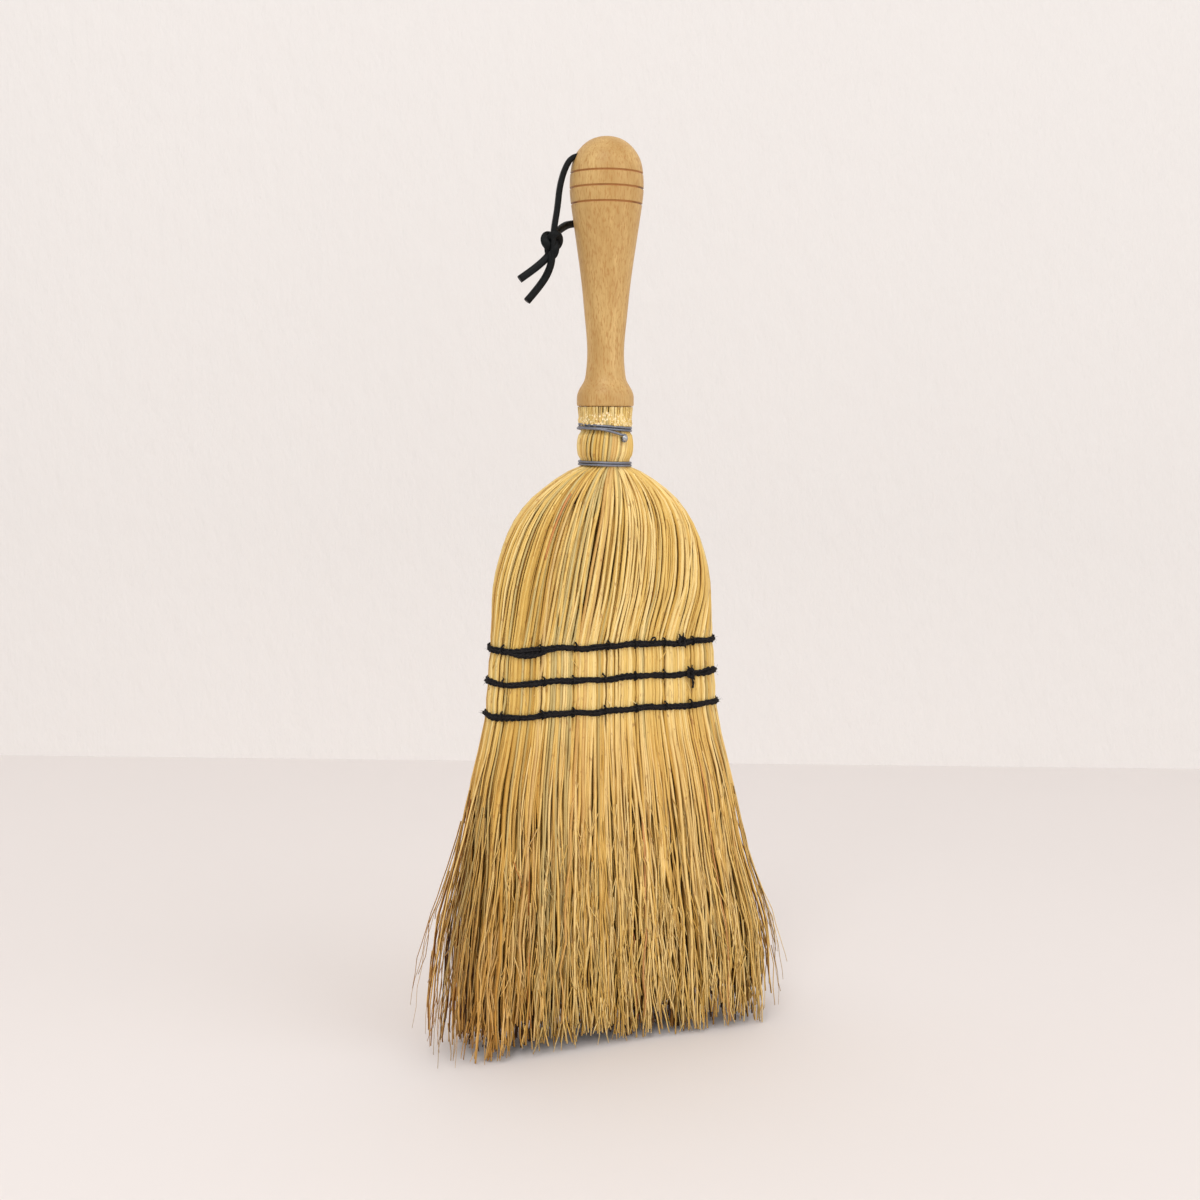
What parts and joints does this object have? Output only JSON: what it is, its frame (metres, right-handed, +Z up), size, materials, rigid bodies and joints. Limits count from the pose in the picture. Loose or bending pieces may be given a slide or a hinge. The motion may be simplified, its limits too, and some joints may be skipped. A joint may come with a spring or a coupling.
{
  "type": "hand broom",
  "caption": "Straw hand broom: straw wired to a turned wooden handle, fanned out and sewn flat with rows of dark twine, with a leather thong to hang it by.",
  "frame": {"origin": "on the floor, under the middle of the straw tips that the broom stands on", "axes": "+Z up along the handle, X across the width of the fan, Y through its thickness, with the front at -Y and the thong's knot at -X"},
  "size_m": [0.1822, 0.042, 0.42],
  "materials": {
    "beech": "satin",
    "straw": "matte",
    "twine": "matte",
    "band_wire": "satin",
    "nail_steel": "satin",
    "thong_leather": "satin"
  },
  "bodies": {
    "broom": {"handle": "beech", "lower_wire_band": "band_wire", "row_1_binding": "twine", "row_1_stitching": "twine", "row_2_binding": "twine", "row_2_stitching": "twine", "row_3_binding": "twine", "row_3_stitching": "twine", "straw_core_back_1": "straw", "straw_core_back_2": "straw", "straw_core_back_3": "straw", "straw_core_back_4": "straw", "straw_core_back_5": "straw", "straw_core_back_6": "straw", "straw_core_front_1": "straw", "straw_core_front_2": "straw", "straw_core_front_3": "straw", "straw_core_front_4": "straw", "straw_core_front_5": "straw", "straw_core_front_6": "straw", "straw_core_left_end": "straw", "straw_core_right_end": "straw", "straw_stalks_back_1": "straw", "straw_stalks_back_2": "straw", "straw_stalks_back_3": "straw", "straw_stalks_back_4": "straw", "straw_stalks_back_5": "straw", "straw_stalks_back_6": "straw", "straw_stalks_front_1": "straw", "straw_stalks_front_2": "straw", "straw_stalks_front_3": "straw", "straw_stalks_front_4": "straw", "straw_stalks_front_5": "straw", "straw_stalks_front_6": "straw", "straw_stalks_left_end": "straw", "straw_stalks_right_end": "straw", "upper_wire_band": "band_wire", "wire_nail": "nail_steel"},
    "hanging_loop": {"thong_back_strand": "thong_leather", "thong_in_hole": "thong_leather", "thong_knot": "thong_leather", "thong_left_strand": "thong_leather"}
  },
  "joints": [
    {"name": "loop_swing", "type": "hinge", "parent": "broom", "child": "hanging_loop", "pos_m": [0, 0, 0.4107], "axis": [0.9903, -0.1392, 0], "range_deg": [0, 240]}
  ]
}
